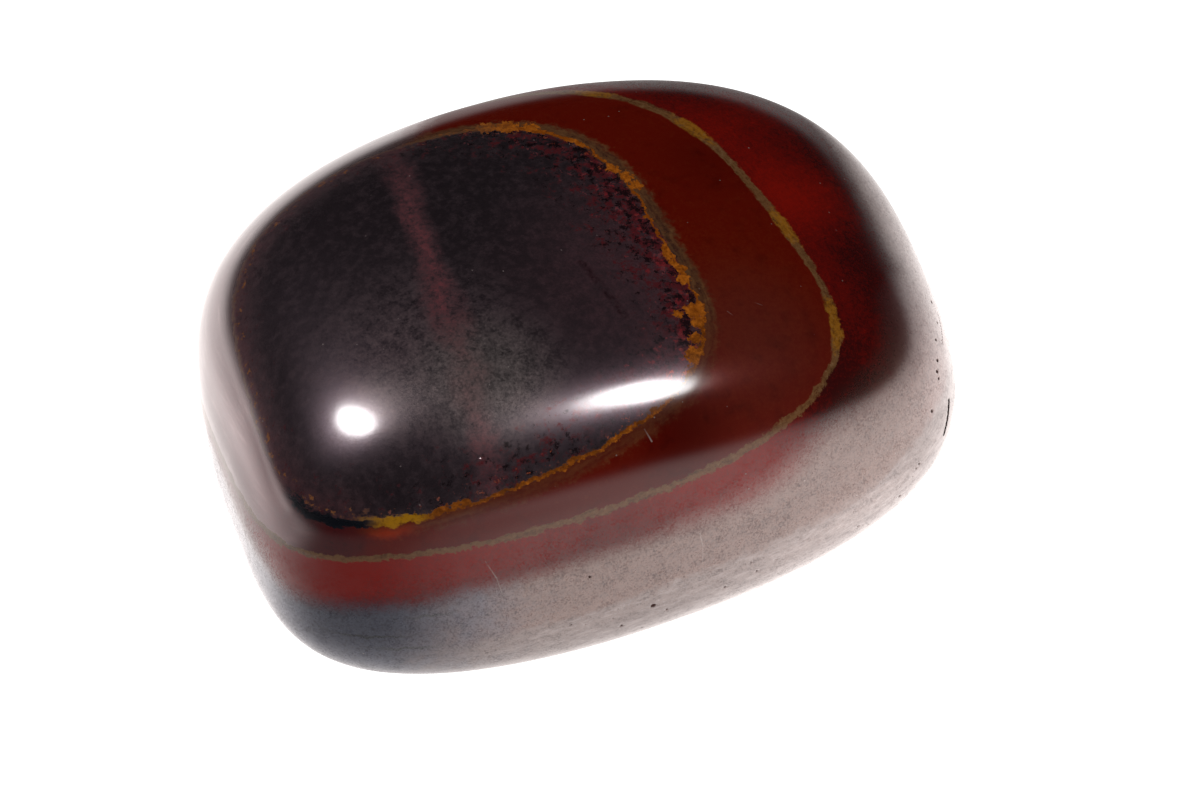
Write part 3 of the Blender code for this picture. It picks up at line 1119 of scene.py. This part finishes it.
def make_lamps(studio):
    """Two soft oval lamps, one over the back left and one over the front right."""
    for number, (mirror, way, turn, long, short) in enumerate(LAMPS, 1):
        light = bpy.data.lights.new(f"soft_lamp_{number}", "AREA")
        light.shape = "ELLIPSE"
        light.size = long
        light.size_y = short
        light.energy = studio.lamp_glow * long * short
        lamp = bpy.data.objects.new(f"soft_lamp_{number}", light)
        way = Vector(way).normalized()
        level = Vector((0, 0, 1)).cross(way).normalized()
        lengthwise = level * cos(radians(turn)) + way.cross(level) * sin(radians(turn))
        axes = Matrix((lengthwise, way.cross(lengthwise), way)).transposed()
        lamp.rotation_euler = axes.to_euler()
        lamp.location = way * studio.lamp_distance + Vector(mirror) * MILLIMETRE
        lamp.visible_camera = False
        bpy.context.scene.collection.objects.link(lamp)


def make_world():
    """White around the floor for the camera; dim and even for the stone."""
    world = bpy.data.worlds.new("studio")
    world.use_nodes = True
    bpy.context.scene.world = world
    tree = Tree(world.node_tree)
    background = world.node_tree.nodes["Background"]
    path = tree.node("ShaderNodeLightPath").socket.node.outputs
    seen = Value(tree, path["Is Camera Ray"])
    glossy = Value(tree, path["Is Glossy Ray"])
    strength = glossy * (WORLD_IN_POLISH - WORLD_GLOW) + WORLD_GLOW
    strength = strength + (WORLD_SEEN - strength) * seen
    tree.feed(background.inputs["Strength"], strength)


def make_camera(studio):
    """The photograph's viewpoint."""
    data = bpy.data.cameras.new("camera")
    data.lens = studio.lens
    data.sensor_width = 36.0
    data.clip_start = 0.01
    camera = bpy.data.objects.new("camera", data)
    turn, rise = studio.camera_azimuth, studio.camera_elevation
    back = Vector((sin(turn) * cos(rise), -cos(turn) * cos(rise), sin(rise)))
    camera.location = Vector(CAMERA_AIM) * MILLIMETRE + back * studio.camera_distance
    camera.rotation_euler = back.to_track_quat("Z", "Y").to_euler()
    bpy.context.scene.collection.objects.link(camera)
    bpy.context.scene.camera = camera


# Operators and panel

class IRONSTONE_OT_add_stone(bpy.types.Operator):
    """Build the polished pebble in place of its plain solid"""

    bl_idname = "ironstone.add_stone"
    bl_label = "Add Stone"

    def execute(self, context):
        mesh = make_stone_mesh(context.scene.ironstone_shape)
        mesh.materials.append(StoneMaterial(context.scene.ironstone_colours).build())
        stone = bpy.data.objects.new("tumbled_ironstone", mesh)
        context.scene.collection.objects.link(stone)
        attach(stone, "root")
        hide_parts(STONE_NODE)
        return {"FINISHED"}


class IRONSTONE_OT_add_stage(bpy.types.Operator):
    """Build the floor, lamps, surroundings and camera"""

    bl_idname = "ironstone.add_stage"
    bl_label = "Add Stage"

    def execute(self, context):
        studio = context.scene.ironstone_studio
        make_floor(studio)
        make_lamps(studio)
        make_world()
        make_camera(studio)
        context.scene.view_settings.view_transform = "Standard"
        return {"FINISHED"}


class IRONSTONE_PT_panel(bpy.types.Panel):
    """Lists the pebble's sizes and colours and its two operators"""

    bl_label = "Banded Ironstone"
    bl_idname = "IRONSTONE_PT_panel"
    bl_space_type = "VIEW_3D"
    bl_region_type = "UI"
    bl_category = "Ironstone"

    def draw(self, context):
        layout = self.layout
        for group in (
            context.scene.ironstone_shape,
            context.scene.ironstone_colours,
            context.scene.ironstone_studio,
        ):
            box = layout.box()
            for name in group.__annotations__:
                box.prop(group, name)
        layout.operator(IRONSTONE_OT_add_stone.bl_idname)
        layout.operator(IRONSTONE_OT_add_stage.bl_idname)


CLASSES = (
    IronstoneShape,
    IronstoneColours,
    IronstoneStudio,
    IRONSTONE_OT_add_stone,
    IRONSTONE_OT_add_stage,
    IRONSTONE_PT_panel,
)


def register():
    for cls in CLASSES:
        bpy.utils.register_class(cls)
    bpy.types.Scene.ironstone_shape = PointerProperty(type=IronstoneShape)
    bpy.types.Scene.ironstone_colours = PointerProperty(type=IronstoneColours)
    bpy.types.Scene.ironstone_studio = PointerProperty(type=IronstoneStudio)


def unregister():
    del bpy.types.Scene.ironstone_shape
    del bpy.types.Scene.ironstone_colours
    del bpy.types.Scene.ironstone_studio
    for cls in reversed(CLASSES):
        bpy.utils.unregister_class(cls)


def main():
    register()
    bpy.ops.ironstone.add_stone()
    bpy.ops.ironstone.add_stage()


if __name__ == "__main__":
    main()
